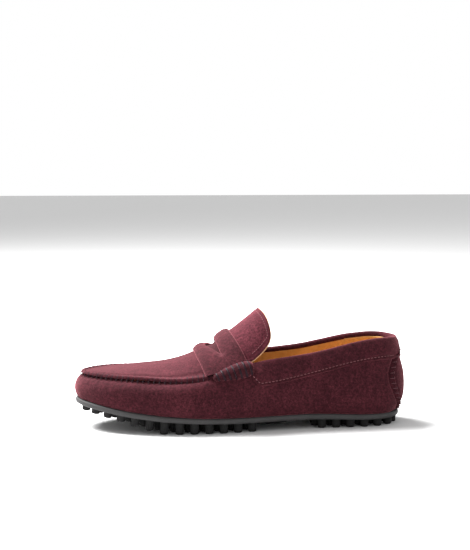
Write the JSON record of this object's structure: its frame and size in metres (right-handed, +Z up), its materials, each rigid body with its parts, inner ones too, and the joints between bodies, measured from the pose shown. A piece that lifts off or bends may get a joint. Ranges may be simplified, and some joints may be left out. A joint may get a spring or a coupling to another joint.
{
  "type": "penny loafer",
  "caption": "Left driving-style penny loafer: suede upper with raised hand-sewn plug, slotted saddle strap, padded collar, flexing lined tongue and studded rubber sole.",
  "frame": {"origin": "on the floor, under the centre of the shoe's bounding box", "axes": "toe towards -X and heel towards +X, outer (lateral) side of this left shoe towards -Y, +Z up"},
  "size_m": [0.2892, 0.099, 0.0999],
  "materials": {
    "suede": "matte burgundy suede nap",
    "lining_leather": "satin tan leather",
    "rubber": "matte dark grey rubber",
    "thread": "waxed dark burgundy thread",
    "fibreboard": "matte pressed fibreboard",
    "foam": "matte foam"
  },
  "bodies": {
    "shoe": {"outsole": "rubber", "insole_board": "fibreboard", "footbed_foam": "foam", "sock_liner": "lining_leather", "vamp_wall": "suede", "heel_patch": "suede", "collar_band_lateral": "suede", "collar_band_medial": "suede", "collar_padding": "foam", "heel_counter": "fibreboard", "heel_grip": "lining_leather", "quarter_lining_lateral": "lining_leather", "quarter_lining_medial": "lining_leather", "vamp_lining": "lining_leather", "plug": "suede", "plug_lining": "lining_leather", "saddle_strap": "suede", "beef_roll_lateral": "suede", "beef_roll_medial": "suede", "beef_roll_cord_lateral": "thread", "beef_roll_cord_medial": "thread", "moc_seam_thread": "thread", "heel_seam_thread_lateral": "thread", "heel_seam_thread_medial": "thread", "collar_stitch_lateral": "thread", "collar_stitch_medial": "thread"},
    "tongue": {"tongue": "suede", "tongue_lining": "lining_leather", "tongue_stitch": "thread"}
  },
  "joints": [
    {"name": "tongue_flex", "type": "hinge", "parent": "shoe", "child": "tongue", "pos_m": [-0.0089, -0.0004, 0.08], "axis": [0, -1, 0], "range_deg": [-4, 20], "stiffness_Nm_per_rad": 0.06}
  ]
}
